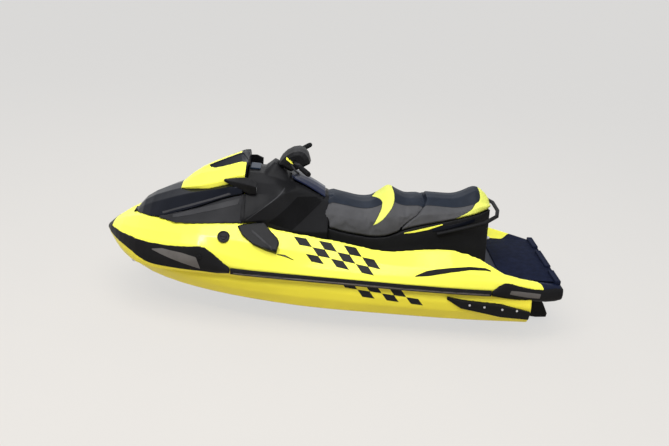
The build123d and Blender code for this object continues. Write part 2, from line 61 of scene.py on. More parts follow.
# ---- finishes
class Paint:
    # a material under construction: its node tree and its shader
    def __init__(self, name, roughness, metallic=0.0, coat=0.0, shine=0.5):
        self.mat = bpy.data.materials.new(name)
        self.mat.use_nodes = True
        self.tree = self.mat.node_tree
        self.shader = self.tree.nodes["Principled BSDF"]
        self.shader.inputs["Roughness"].default_value = roughness
        self.shader.inputs["Metallic"].default_value = metallic
        self.shader.inputs["Coat Weight"].default_value = coat
        self.shader.inputs["Specular IOR Level"].default_value = shine
        self.shader.inputs["Coat Roughness"].default_value = 0.06
        self.place = self.add("ShaderNodeTexCoord").outputs["Object"]

    def add(self, kind, **values):
        node = self.tree.nodes.new(kind)
        for key, value in values.items():
            setattr(node, key, value)
        return node

    def link(self, a, b):
        self.tree.links.new(a, b)

    def noise(self, scale, detail=4.0, stretch=None):
        grain = self.add("ShaderNodeTexNoise")
        grain.inputs["Scale"].default_value = scale
        grain.inputs["Detail"].default_value = detail
        self.link(self.stretched(stretch), grain.inputs["Vector"])
        return grain.outputs["Fac"]

    def stretched(self, stretch):
        if not stretch:
            return self.place
        mapping = self.add("ShaderNodeMapping")
        mapping.inputs["Scale"].default_value = stretch
        self.link(self.place, mapping.inputs["Vector"])
        return mapping.outputs["Vector"]

    def ramp(self, source, stops):
        ramp = self.add("ShaderNodeValToRGB")
        while len(ramp.color_ramp.elements) < len(stops):
            ramp.color_ramp.elements.new(0.5)
        for element, (position, colour) in zip(ramp.color_ramp.elements, stops):
            element.position = position
            element.color = tuple(colour) + (1,)
        self.link(source, ramp.inputs["Fac"])
        return ramp.outputs["Color"]

    def mottled(self, colour, spread, scale=9.0, stretch=None):
        dark = [c * (1 - spread) for c in colour]
        pale = [min(1, c * (1 + spread)) for c in colour]
        return self.ramp(self.noise(scale, stretch=stretch), [(0.35, dark), (0.7, pale)])

    def colour(self, output):
        self.link(output, self.shader.inputs["Base Color"])

    def roughness(self, low, high, scale=5.0):
        span = self.add("ShaderNodeMapRange")
        span.inputs["To Min"].default_value = low
        span.inputs["To Max"].default_value = high
        self.link(self.noise(scale, 6.0), span.inputs["Value"])
        self.link(span.outputs["Result"], self.shader.inputs["Roughness"])

    def bump(self, height, strength, distance=0.001):
        bump = self.add("ShaderNodeBump")
        bump.inputs["Strength"].default_value = strength
        bump.inputs["Distance"].default_value = distance
        if self.shader.inputs["Normal"].is_linked:
            self.link(self.shader.inputs["Normal"].links[0].from_socket, bump.inputs["Normal"])
        self.link(height, bump.inputs["Height"])
        self.link(bump.outputs["Normal"], self.shader.inputs["Normal"])

    def math(self, operation, a, b=None):
        node = self.add("ShaderNodeMath", operation=operation)
        for socket, value in zip(node.inputs, (a, b)):
            if value is None:
                continue
            if isinstance(value, (int, float)):
                socket.default_value = value
            else:
                self.link(value, socket)
        return node.outputs[0]

    def axes(self):
        split = self.add("ShaderNodeSeparateXYZ")
        self.link(self.place, split.inputs[0])
        return split.outputs

    def between(self, value, low, high):
        # 1 where the value lies between the two
        above = self.math("GREATER_THAN", value, low)
        return self.math("MULTIPLY", above, self.math("LESS_THAN", value, high))

    def curve(self, value, points, low, high):
        # a smooth line through (value, result) points, read at the value
        span = [points[0][0], points[-1][0]]
        share = self.math("DIVIDE", self.math("SUBTRACT", value, span[0]), span[1] - span[0])
        bend = self.add("ShaderNodeFloatCurve")
        line = bend.mapping.curves[0]
        stops = [((a - span[0]) / (span[1] - span[0]), (b - low) / (high - low)) for a, b in points]
        line.points[0].location = stops[0]
        line.points[-1].location = stops[-1]
        for stop in stops[1:-1]:
            line.points.new(*stop)
        bend.mapping.update()
        self.link(share, bend.inputs["Value"])
        return self.math("ADD", self.math("MULTIPLY", bend.outputs[0], high - low), low)

    def checks(self, base, dark, lattice):
        # two-tone checks on a leaning lattice, painted on the sides from outside
        x, y, z = self.axes()
        dx = self.math("SUBTRACT", x, lattice["corner"][0])
        dz = self.math("SUBTRACT", z, lattice["corner"][1])
        (cx, cz), (rx, rz) = lattice["column"], lattice["row"]
        scale = cx * rz - rx * cz
        column = self.math("ADD", self.math("MULTIPLY", dx, rz / scale), self.math("MULTIPLY", dz, -rx / scale))
        row = self.math("ADD", self.math("MULTIPLY", dx, -cz / scale), self.math("MULTIPLY", dz, cx / scale))
        steps = self.math("ADD", self.math("FLOOR", column), self.math("FLOOR", row))
        even = self.math("LESS_THAN", self.math("PINGPONG", steps, 1.0), 0.5)
        inColumns = self.between(column, *lattice["columns"])
        inside = self.math("MULTIPLY", inColumns, self.between(row, *lattice["rows"]))
        outer = self.math("GREATER_THAN", self.math("ABSOLUTE", y), lattice["breadth"])
        self.checkMask = self.math("MULTIPLY", self.math("MULTIPLY", even, inside), outer)
        return self.mix(self.checkMask, base, dark)

    def mix(self, fac, a, b):
        node = self.add("ShaderNodeMix", data_type="RGBA")
        self.link(fac, node.inputs["Factor"])
        for socket, value in ((node.inputs[6], a), (node.inputs[7], b)):
            if isinstance(value, (tuple, list)):
                socket.default_value = tuple(value) + (1,)
            else:
                self.link(value, socket)
        return node.outputs[2]


def mouldedPlastic(name, colour, roughness, grainScale=650, grainDepth=0.35, coat=0.0, spread=0.12, shine=0.055):
    paint = Paint(name, roughness, coat=coat, shine=shine)
    paint.colour(paint.mottled(colour, spread))
    paint.roughness(max(0.05, roughness - 0.07), roughness + 0.08)
    if grainDepth:
        paint.bump(paint.noise(grainScale, 2.0), grainDepth, 0.0006)
    return paint.mat


gelLook = {"roughness": 0.30, "coat": 0.35, "shine": 0.08, "coatRoughness": 0.16, "paintedCoat": 0.40, "spread": 0.035,
           "patches": 3.0, "scuffTop": 0.16, "scuffShade": 0.62}


def gelCoat(name, colour, lattice=None, scuffed=0.0, insets=None, corners=None):
    # glossy coloured gelcoat with a faint orange peel, rubbed patches, and dark areas where it has them
    paint = Paint(name, gelLook["roughness"], coat=gelLook["coat"], shine=gelLook["shine"])
    paint.shader.inputs["Coat Roughness"].default_value = gelLook["coatRoughness"]
    base = paint.mottled(colour, gelLook["spread"], gelLook["patches"])
    if scuffed:
        rub = paint.ramp(paint.noise(7.0, 8.0, (1, 4, 9)), [(0.60, (0, 0, 0)), (0.72, (1, 1, 1))])
        low = paint.between(paint.axes()[2], -1.0, gelLook["scuffTop"])
        share = paint.math("MULTIPLY", paint.math("MULTIPLY", rub, low), scuffed)
        base = paint.mix(share, base, tuple(c * gelLook["scuffShade"] for c in colour))
    painted = []
    if lattice:
        base = paint.checks(base, colours["check"], lattice)
        painted.append(paint.checkMask)
    if corners:
        # the dark after corners of the stern platform
        x, y, z = paint.axes()
        past = paint.math("SUBTRACT", paint.math("ABSOLUTE", y), corners["half"])
        line = paint.math("SUBTRACT", corners["from"], paint.math("MULTIPLY", corners["slope"], past))
        high = paint.math("GREATER_THAN", z, corners["above"])
        painted.append(paint.math("MULTIPLY", paint.math("LESS_THAN", x, line), high))
        base = paint.mix(painted[-1], base, colours["mat"])
    if insets:
        # black insets on both sides of the spine stripe, and the black aft end
        x, y, z = paint.axes()
        half = paint.math("ABSOLUTE", y)
        inside = paint.math("LESS_THAN", half, paint.curve(x, insets["outer"], 0.0, 0.4))
        channel = paint.math("MULTIPLY", paint.between(half, insets["spine"], 1.0), inside)
        aft = paint.math("MULTIPLY", paint.math("LESS_THAN", x, insets["aft"]), inside)
        back = paint.math("LESS_THAN", x, insets["back"])
        dark = paint.math("MAXIMUM", paint.math("MAXIMUM", channel, aft), back)
        painted.append(paint.math("MULTIPLY", dark, paint.math("LESS_THAN", x, insets["outer"][-1][0])))
        base = paint.mix(painted[-1], base, colours["gloss"])
    if painted:
        # the dark areas are duller than the gelcoat
        dull = painted[0] if len(painted) == 1 else paint.math("MAXIMUM", *painted)
        bright = paint.math("SUBTRACT", 1.0, dull)
        paint.link(paint.math("MULTIPLY", bright, gelLook["paintedCoat"]), paint.shader.inputs["Coat Weight"])
    paint.colour(base)
    paint.roughness(0.26, 0.40, 4.0)
    paint.bump(paint.noise(120, 1.0), 0.08, 0.0005)
    return paint.mat


def metalLook(name, colour, roughness, stretch=(6, 6, 120)):
    paint = Paint(name, roughness, metallic=1.0)
    paint.colour(paint.mottled(colour, 0.12, 20.0, stretch))
    paint.roughness(roughness - 0.08, roughness + 0.1, 14.0)
    paint.bump(paint.noise(260, 2.0, stretch), 0.12, 0.0004)
    return paint.mat


colours = {
    "lime": (0.88, 0.86, 0.085), "hullLime": (0.80, 0.70, 0.045), "seatYellow": (0.63, 0.66, 0.12),
    "black": (0.010, 0.010, 0.011), "gloss": (0.005, 0.006, 0.010), "check": (0.014, 0.014, 0.015),
    "vent": (0.006, 0.006, 0.007), "knee": (0.0065, 0.0065, 0.007), "rubber": (0.008, 0.008, 0.009),
    "charcoal": (0.038, 0.038, 0.041), "panel": (0.020, 0.020, 0.022), "seam": (0.012, 0.012, 0.013),
    "vinylTop": (0.011, 0.015, 0.024), "vinylSide": (0.058, 0.058, 0.062), "mat": (0.007, 0.010, 0.026),
    "navyGloss": (0.006, 0.010, 0.034), "screen": (0.012, 0.022, 0.040), "insert": (0.115, 0.108, 0.105),
    "railGrey": (0.17, 0.16, 0.155), "engine": (0.12, 0.12, 0.125), "glass": (0.75, 0.78, 0.80),
    "steel": (0.60, 0.60, 0.62), "alloy": (0.30, 0.31, 0.32),
}
deckChecks = {"corner": (0.298, 0.694), "column": (-0.0878, -0.0125), "row": (-0.0447, -0.0466),
              "columns": (0, 6), "rows": (0, 3), "breadth": 0.43}
hullChecks = {"corner": (-0.168, 0.375), "column": (-0.0862, -0.0082), "row": (-0.0395, -0.050),
              "columns": (-1, 5), "rows": (-1, 1), "breadth": 0.50}
limeGel = gelCoat("limeGel", colours["lime"])
sternCorners = {"from": -1.34, "slope": 1.56, "half": 0.395, "above": 0.40}
limeDeck = gelCoat("limeDeck", colours["lime"], deckChecks, corners=sternCorners)
cowlInsets = {
    "outer": [(0.640, 0.180), (0.668, 0.172), (0.697, 0.163), (0.721, 0.157), (0.760, 0.146), (0.800, 0.132),
              (0.840, 0.116), (0.896, 0.084), (0.924, 0.056), (0.948, 0.016)],
    "spine": 0.021, "aft": 0.712, "back": 0.6645,
}
limeCowl = gelCoat("limeCowl", colours["lime"], insets=cowlInsets)
# the hull's lime is the deck's lime darkened to mustard: painted shade and a painted reflection of the sand
limeHull = gelCoat("limeHull", colours["hullLime"], hullChecks, scuffed=0.5)
navyGloss = mouldedPlastic("navyGloss", colours["navyGloss"], 0.14, grainDepth=0.0, shine=0.15)
ventBlack = mouldedPlastic("ventBlack", colours["vent"], 0.27, 500, 0.15, shine=0.09)
consoleBlack = mouldedPlastic("consoleBlack", colours["black"], 0.36, 700, 0.3, shine=0.06)
kneeMatte = mouldedPlastic("kneeMatte", colours["knee"], 0.62, 420, 0.6, shine=0.02)
mirrorGlass = metalLook("mirrorGlass", colours["glass"], 0.12)
screenGlass = mouldedPlastic("screenGlass", colours["screen"], 0.10, grainDepth=0.0, shine=0.12)
blackMoulding = mouldedPlastic("blackMoulding", colours["black"], 0.42)
glossBlack = mouldedPlastic("glossBlack", colours["gloss"], 0.16, grainDepth=0.0, shine=0.075)
charcoalPanel = mouldedPlastic("charcoalPanel", colours["charcoal"], 0.40, 800, 0.25)
sidePanelBlack = mouldedPlastic("sidePanelBlack", colours["panel"], 0.42, 800, 0.25)
gripRubber = mouldedPlastic("gripRubber", colours["rubber"], 0.62, 300, 0.5)
railGrey = mouldedPlastic("railGrey", colours["railGrey"], 0.45)
navyTrim = mouldedPlastic("navyTrim", colours["mat"], 0.62, 420, 0.5, shine=0.06)
greyInsert = mouldedPlastic("greyInsert", colours["insert"], 0.45)
engineGrey = mouldedPlastic("engineGrey", colours["engine"], 0.5)
steelBright = metalLook("steelBright", colours["steel"], 0.26)
castAlloy = metalLook("castAlloy", colours["alloy"], 0.42)


grooves = {"pitch": 0.011, "half": 0.0016}


def deckMatting(name):
    # foam matting with routed grooves that run fore and aft
    paint = Paint(name, 0.8, shine=0.06)
    cut = paint.math("LESS_THAN", paint.math("PINGPONG", paint.axes()[1], grooves["pitch"]), grooves["half"])
    base = paint.mottled(colours["mat"], 0.25, 30.0)
    paint.colour(paint.mix(cut, base, tuple(c * 0.35 for c in colours["mat"])))
    paint.bump(paint.noise(900, 2.0), 0.5, 0.0008)
    paint.bump(cut, -0.8, 0.0015)
    return paint.mat


bumperEdge = [(0.800, 0.430), (0.892, 0.433), (1.010, 0.430), (1.140, 0.431), (1.281, 0.434), (1.363, 0.454),
              (1.450, 0.491), (1.534, 0.508), (1.611, 0.510), (1.690, 0.506)]


def bumperPaint(name):
    # black bumper whose lower lip is in the hull's colour
    paint = Paint(name, 0.42, shine=0.055)
    x, y, z = paint.axes()
    lip = paint.math("LESS_THAN", z, paint.curve(x, bumperEdge, 0.40, 0.54))
    # the lip takes the hull's darkened lime: painted shade
    lime = paint.mottled(colours["hullLime"], gelLook["spread"], gelLook["patches"])
    paint.colour(paint.mix(lip, paint.mottled(colours["black"], 0.12), lime))
    paint.link(paint.math("MULTIPLY", lip, gelLook["paintedCoat"]), paint.shader.inputs["Coat Weight"])
    paint.roughness(0.32, 0.46)
    paint.bump(paint.noise(500, 2.0), 0.12, 0.0006)
    return paint.mat


bumperLook = bumperPaint("bowBumperPaint")
navyMat = deckMatting("navyMat")
finishes = {
    "hull_yellow": limeGel, "black_moulding": blackMoulding, "gloss_black": glossBlack, "charcoal": sidePanelBlack,
    "vinyl_black": charcoalPanel, "grip_rubber": gripRubber, "mat_navy": navyMat, "steel": steelBright,
    "alloy": castAlloy, "engine_grey": engineGrey, "tub_grey": charcoalPanel,
}
for nodeName, slotName in slotOf.items():
    nodes[nodeName].data.materials.clear()
    nodes[nodeName].data.materials.append(finishes[slotName])
print("finishes set")


# ---- modelling helpers
sides = ((1, "Left"), (-1, "Right"))


def deselect():
    if bpy.context.object and bpy.context.object.mode != "OBJECT":
        bpy.ops.object.mode_set(mode="OBJECT")
    bpy.ops.object.select_all(action="DESELECT")


def pick(piece):
    deselect()
    piece.select_set(True)
    bpy.context.view_layer.objects.active = piece


def modify(piece, kind, **values):
    pick(piece)
    modifier = piece.modifiers.new(kind.lower(), kind)
    for key, value in values.items():
        setattr(modifier, key, value)
    bpy.ops.object.modifier_apply(modifier=modifier.name)


def bevelled(piece, width, segments, angle):
    modify(piece, "BEVEL", width=width, segments=segments, limit_method="ANGLE", angle_limit=math.radians(angle))


def shadedByAngle(piece, angle=35):
    pick(piece)
    bpy.ops.object.shade_smooth_by_angle(angle=math.radians(angle))


def mergedCopy(node, name):
    piece = bpy.data.objects.new(name, nodes[node].data.copy())
    bpy.context.scene.collection.objects.link(piece)
    pick(piece)
    bpy.ops.object.mode_set(mode="EDIT")
    bpy.ops.mesh.select_all(action="SELECT")
    bpy.ops.mesh.remove_doubles(threshold=0.00004)
    bpy.ops.object.mode_set(mode="OBJECT")
    return piece


def finishPiece(piece, look, body):
    piece.data.materials.clear()
    piece.data.materials.append(look)
    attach(piece, body)
    return piece


def mouldedShell(node, name, voxel, rounds, look=None, keep=0.42):
    # the CAD solid with the soft edges of a moulding
    piece = mergedCopy(node, name)
    modify(piece, "REMESH", mode="VOXEL", voxel_size=voxel, use_smooth_shade=True)
    modify(piece, "SMOOTH", factor=0.5, iterations=rounds)
    modify(piece, "DECIMATE", ratio=keep)
    pick(piece)
    bpy.ops.object.shade_smooth()
    finishPiece(piece, look or finishes[slotOf[node]], bodyOf[node])
    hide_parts(node)
    return piece


def softenedCopy(node, name, width, look=None, angle=28):
    # the CAD solid with small bevels along its edges
    piece = mergedCopy(node, name)
    bpy.ops.object.mode_set(mode="EDIT")
    bpy.ops.mesh.select_all(action="SELECT")
    bpy.ops.mesh.dissolve_limited(angle_limit=math.radians(0.6))
    bpy.ops.object.mode_set(mode="OBJECT")
    bevelled(piece, width, 2, angle)
    shadedByAngle(piece, angle)
    finishPiece(piece, look or finishes[slotOf[node]], bodyOf[node])
    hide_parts(node)
    return piece


def along(line, share):
    # the point at a share of the way through the rows of a line
    spot = share * (len(line) - 1)
    k = min(int(spot), len(line) - 2)
    return [a + (b - a) * (spot - k) for a, b in zip(line[k], line[k + 1])]


def join(pieces, name):
    deselect()
    for piece in pieces:
        piece.select_set(True)
    bpy.context.view_layer.objects.active = pieces[0]
    bpy.ops.object.join()
    pieces[0].name = name
    return pieces[0]


def turnOutward(piece, wanted):
    outward = sum((polygon.normal * polygon.area for polygon in piece.data.polygons), Vector())
    if outward.dot(Vector(wanted)) < 0:
        pick(piece)
        bpy.ops.object.mode_set(mode="EDIT")
        bpy.ops.mesh.select_all(action="SELECT")
        bpy.ops.mesh.flip_normals()
        bpy.ops.object.mode_set(mode="OBJECT")


# inlays start from these planes, well clear of the craft
startPlane = {"side": 0.95, "aft": -2.0, "slack": 0.01}


def layOn(name, lower, upper, target, look, body, slotName, side=1, lift=0.0014, thick=0.004, cells=(24, 6), aft=False):
    # a thin inlay between two lines of (x, z) points laid on from its side, or of (y, z) points from aft
    deselect()
    bpy.ops.mesh.primitive_grid_add(x_subdivisions=cells[0], y_subdivisions=cells[1], size=2)
    piece = bpy.context.active_object
    piece.name = name
    for vert in piece.data.vertices:
        across, up = (vert.co.x + 1) / 2, (vert.co.y + 1) / 2
        low, high = along(lower, across), along(upper, across)
        a, b = [p + (q - p) * up for p, q in zip(low, high)]
        vert.co = (startPlane["aft"], a, b) if aft else (a, side * startPlane["side"], b)
    piece.data.update()
    backwards = side > 0 and not aft
    modify(piece, "SHRINKWRAP", wrap_method="PROJECT", target=target, offset=0.0, use_project_x=aft,
           use_project_y=not aft, use_negative_direction=backwards, use_positive_direction=not backwards)
    missed = [v.index for v in piece.data.vertices if abs(v.co.y) > startPlane["side"] - startPlane["slack"]
              or v.co.x < startPlane["aft"] + startPlane["slack"]]
    if missed:
        print(name, "misses the moulding at", len(missed), "points")
        bpy.ops.object.mode_set(mode="EDIT")
        bpy.ops.mesh.select_mode(type="VERT")
        bpy.ops.mesh.select_all(action="DESELECT")
        bpy.ops.object.mode_set(mode="OBJECT")
        for number in missed:
            piece.data.vertices[number].select = True
        bpy.ops.object.mode_set(mode="EDIT")
        bpy.ops.mesh.delete(type="VERT")
        bpy.ops.object.mode_set(mode="OBJECT")
    bpy.ops.object.mode_set(mode="EDIT")
    bpy.ops.mesh.select_all(action="SELECT")
    bpy.ops.mesh.normals_make_consistent(inside=False)
    bpy.ops.object.mode_set(mode="OBJECT")
    turnOutward(piece, (-1, 0, 0) if aft else (0, side, 0))
    modify(piece, "SMOOTH", factor=0.5, iterations=2)
    modify(piece, "DISPLACE", strength=lift, mid_level=0.0)
    modify(piece, "SOLIDIFY", thickness=thick, offset=-1.0)
    bevelled(piece, 0.0007, 1, 50)
    shadedByAngle(piece)
    return finishPiece(piece, look, body)


def bothSides(name, lower, upper, target, look, body, slotName, **values):
    for side, end in sides:
        goal = target if not isinstance(target, tuple) else target[0 if side > 0 else 1]
        layOn(name + end, lower, upper, goal, look, body, slotName, side=side, **values)


def disc(name, place, radius, height, direction, corners):
    deselect()
    turn = Vector(direction).to_track_quat("Z", "Y").to_euler()
    bpy.ops.mesh.primitive_cylinder_add(vertices=corners, radius=radius, depth=height, location=place, rotation=turn)
    piece = bpy.context.active_object
    piece.name = name
    bpy.ops.object.transform_apply(location=True, rotation=True, scale=True)
    return piece


def block(name, place, size, turn=(0, 0, 0)):
    deselect()
    bpy.ops.mesh.primitive_cube_add(size=1, location=place, rotation=turn, scale=size)
    piece = bpy.context.active_object
    piece.name = name
    bpy.ops.object.transform_apply(location=True, rotation=True, scale=True)
    return piece


def stud(name, place, radius, height, direction, look, body, corners=20):
    # a fastener head: a disc with a chamfer and a socket
    piece = disc(name, place, radius, height, direction, corners)
    bevelled(piece, radius * 0.16, 2, 40)
    bpy.ops.object.mode_set(mode="EDIT")
    bpy.ops.mesh.select_mode(type="FACE")
    bpy.ops.mesh.select_all(action="DESELECT")
    bpy.ops.object.mode_set(mode="OBJECT")
    ahead = Vector(direction).normalized()
    max(piece.data.polygons, key=lambda face: (face.normal.dot(ahead) > 0.99, face.area)).select = True
    bpy.ops.object.mode_set(mode="EDIT")
    bpy.ops.mesh.inset(thickness=radius * 0.30)
    bpy.ops.mesh.inset(thickness=radius * 0.05, depth=-height * 0.25)
    bpy.ops.object.mode_set(mode="OBJECT")
    shadedByAngle(piece)
    return finishPiece(piece, look, body)


def reach(piece, side, x, z):
    # how far out the piece's side lies at this place
    hit, spot = piece.ray_cast(Vector((x, side * startPlane["side"], z)), Vector((0, -side, 0)))[:2]
    return spot.y if hit else None


def stepped(piece, direction, steps):
    # insets of (width, rise) one inside the other, on the face that looks this way
    for face in piece.data.polygons:
        face.select = face.normal.dot(direction) > 0.99
    bpy.ops.object.mode_set(mode="EDIT")
    bpy.ops.mesh.select_mode(type="FACE")
    for width, rise in steps:
        bpy.ops.mesh.inset(thickness=width, depth=rise)
    bpy.ops.object.mode_set(mode="OBJECT")


def pushed(piece, shape):
    # moves each point of a finished moulding by what shape returns for it
    moves = [Vector(shape(vert.co, vert.normal)) for vert in piece.data.vertices]
    for vert, move in zip(piece.data.vertices, moves):
        vert.co += move
    piece.data.update()


# ---- hull, deck and the large mouldings
shells = {
    "deck": ("deckMoulding", 0.0085, 6), "hull": ("hullMoulding", 0.0105, 4), "hood": ("hoodMoulding", 0.0055, 6),
    "cowl": ("cowlMoulding", 0.0045, 3), "console": ("consoleMoulding", 0.0058, 4),
    "seat_base": ("seatBaseMoulding", 0.0080, 4), "side_panel_left": ("sidePanelLeft", 0.0050, 2),
    "side_panel_right": ("sidePanelRight", 0.0050, 2), "bow_bumper": ("bowBumper", 0.0048, 2),
    "stern_bumper": ("sternBumper", 0.0048, 2), "mirror_left": ("mirrorHousingLeft", 0.0035, 8),
    "mirror_right": ("mirrorHousingRight", 0.0035, 8), "vent_left": ("ventCoverLeft", 0.0035, 3),
    "vent_right": ("ventCoverRight", 0.0035, 3), "bar_pad": ("barCover", 0.0032, 3),
    "sponson_left": ("sponsonBladeLeft", 0.0040, 3), "sponson_right": ("sponsonBladeRight", 0.0040, 3),
    "glovebox_lid": ("gloveboxLid", 0.0035, 4), "display": ("dashDisplay", 0.0030, 2),
}
looks = {"deck": limeDeck, "hull": limeHull, "glovebox_lid": navyGloss, "display": screenGlass, "cowl": limeCowl,
         "vent_left": ventBlack, "vent_right": ventBlack, "console": consoleBlack, "bow_bumper": bumperLook}
made = {}
for nodeName, (pieceName, voxel, rounds) in shells.items():
    made[nodeName] = mouldedShell(nodeName, pieceName, voxel, rounds, looks.get(nodeName))
print("mouldings made")

# ---- smaller solids: eased edges
eased = {
    "ride_plate": 0.0030, "reverse_bucket": 0.0030, "pump_housing": 0.0012, "steering_nozzle": 0.0010,
    "platform_mat": 0.0025, "footwell_mat_left": 0.0025, "footwell_mat_right": 0.0025, "engine_block": 0.0060,
    "storage_tub": 0.0015, "hood_hinge": 0.0008, "grab_handle": 0.0008, "boarding_step": 0.0006, "step_hinge": 0.0006,
    "intake_grate": 0.0008, "impeller": 0.0006, "tow_hook": 0.0008, "bow_eye": 0.0008, "handlebar": 0.0006,
    "lever_left": 0.0006, "lever_right": 0.0006, "steering_stem": 0.0008,
}
blackened = ("handlebar", "lever_left", "lever_right", "steering_stem", "reverse_bucket", "steering_nozzle")
for nodeName, width in eased.items():
    words = nodeName.split("_")
    pieceName = words[0] + "".join(word.title() for word in words[1:]) + "Piece"
    softenedCopy(nodeName, pieceName, width, blackMoulding if nodeName in blackened else None)
print("smaller solids eased")

# ---- hood and side panels: the raised bevels along their edges, lighter than the panels; on the hood the lighter strip is a painted highlight
bevels = {
    "hoodLow": [(1.232, 0.741), (1.131, 0.783), (1.020, 0.825), (0.916, 0.866), (0.820, 0.906), (0.745, 0.934)],
    "hoodHigh": [(1.240, 0.750), (1.131, 0.794), (1.020, 0.838), (0.916, 0.879), (0.820, 0.920), (0.765, 0.945)],
    "panelLow": [(1.150, 0.742), (1.020, 0.775), (0.916, 0.806), (0.820, 0.836), (0.695, 0.876)],
    "panelHigh": [(1.155, 0.756), (1.020, 0.802), (0.916, 0.838), (0.820, 0.872), (0.686, 0.918)],
}
# the hood's bevel strip is charcoal on gloss black: a painted highlight along its front edge
bothSides("hoodBevel", bevels["hoodLow"], bevels["hoodHigh"], made["hood"], charcoalPanel, "hood", "charcoal",
          lift=0.0012, cells=(44, 2))
bothSides("panelBevel", bevels["panelLow"], bevels["panelHigh"], (made["side_panel_left"], made["side_panel_right"]),
          charcoalPanel, "craft", "charcoal", lift=0.0020, cells=(44, 4))

# ---- bow bumper: grey insert and a bolt
bowInsert = {
    "low": [(1.270, 0.540), (1.200, 0.518), (1.030, 0.474), (0.922, 0.450)],
    "high": [(1.274, 0.546), (1.200, 0.565), (1.060, 0.558), (0.955, 0.540)],
}
bothSides("bowInsert", bowInsert["low"], bowInsert["high"], made["bow_bumper"], greyInsert, "craft", "black_moulding",
          lift=0.0016, cells=(36, 5))
bowBolt = {"x": 0.930, "y": 0.573, "z": 0.548, "radius": 0.013, "height": 0.012, "lean": (0.25, 0.12)}
for side, end in sides:
    stud("bowBumperBolt" + end, (bowBolt["x"], side * bowBolt["y"], bowBolt["z"]), bowBolt["radius"], bowBolt["height"],
         (bowBolt["lean"][0], side, bowBolt["lean"][1]), blackMoulding, "craft")

# ---- stern bumper insert, rail strip, sponson bolts
sternInsert = {
    "low": [(-1.236, 0.404), (-1.320, 0.385), (-1.400, 0.371), (-1.474, 0.363)],
    "high": [(-1.246, 0.434), (-1.330, 0.425), (-1.410, 0.413), (-1.478, 0.402)],
}
bothSides("sternInsert", sternInsert["low"], sternInsert["high"], made["stern_bumper"], greyInsert, "craft",
          "black_moulding", cells=(16, 3))
railStrip = {"x": (0.700, 0.300, -0.100, -0.500, -0.900, -1.100), "mid": 0.440, "slope": 0.032, "low": -0.019,
             "high": 0.004}
railMid = [(x, railStrip["mid"] + railStrip["slope"] * x) for x in railStrip["x"]]
for side, end in sides:
    rail = softenedCopy("rub_rail_" + end.lower(), "rubRail" + end, 0.0016)
    layOn("railStrip" + end, [(x, z + railStrip["low"]) for x, z in railMid],
          [(x, z + railStrip["high"]) for x, z in railMid], rail, railGrey, "craft", "black_moulding", side=side,
          lift=0.0012, thick=0.003, cells=(60, 2))
sponsonBolts = {"spots": [(-0.962, 0.317), (-1.069, 0.307), (-1.198, 0.295), (-1.307, 0.285)], "radius": 0.0085,
                "height": 0.008}
for side, end in sides:
    for number, (x, z) in enumerate(sponsonBolts["spots"]):
        y = reach(made["sponson_" + end.lower()], side, x, z)
        if y is None:
            print("no sponson under bolt", number)
            continue
        stud("sponsonBolt" + end + str(number), (x, y, z), sponsonBolts["radius"], sponsonBolts["height"], (0, side, 0),
             steelBright, "craft", corners=16)
print("bumpers dressed")

# ---- stern platform: bolsters on its rear edge
bolsters = {
    "places": [(0.0, 0.300), (0.325, 0.200), (-0.325, 0.200)], "x": -1.614, "z": 0.450, "depth": 0.044, "height": 0.036,
    "steps": [(0.011, 0.0), (0.0022, -0.003)], "edge": 0.006,
}
for number, (y, length) in enumerate(bolsters["places"]):
    piece = block("platformBolster" + str(number), (bolsters["x"], y, bolsters["z"]),
                  (bolsters["depth"], length, bolsters["height"]))
    stepped(piece, Vector((0, 0, 1)), bolsters["steps"])
    bevelled(piece, bolsters["edge"], 3, 60)
    shadedByAngle(piece)
    finishPiece(piece, navyTrim, "craft")
print("platform trimmed")

# ---- deck sides: a black strip as painted shadow in a crease, cleats, fuel cap
# a black strip laid where the crease above the rear gunwale lies in shade: painted shadow
deckCrease = {
    "low": [(-0.560, 0.499), (-0.656, 0.506), (-0.740, 0.521), (-0.821, 0.536), (-0.946, 0.551), (-1.060, 0.548),
            (-1.098, 0.542)],
    "high": [(-0.556, 0.503), (-0.640, 0.538), (-0.706, 0.550), (-0.817, 0.562), (-0.943, 0.569), (-1.057, 0.562),
             (-1.101, 0.549)],
}
bothSides("deckCrease", deckCrease["low"], deckCrease["high"], made["deck"], blackMoulding, "craft", "black_moulding",
          lift=0.0012, cells=(44, 4))
cleatWell = {"low": [(0.404, 0.594), (0.345, 0.579), (0.286, 0.559)],
             "high": [(0.404, 0.598), (0.350, 0.595), (0.286, 0.563)]}
bothSides("cleatWell", cleatWell["low"], cleatWell["high"], made["deck"], blackMoulding, "craft", "black_moulding",
          lift=0.0022, cells=(14, 3))
cleatBar = {"low": [(0.372, 0.590), (0.345, 0.583), (0.322, 0.576)],
            "high": [(0.372, 0.593), (0.348, 0.590), (0.324, 0.579)]}
bothSides("cleatBar", cleatBar["low"], cleatBar["high"], made["deck"], greyInsert, "craft", "black_moulding",
          lift=0.0045, thick=0.006, cells=(10, 2))

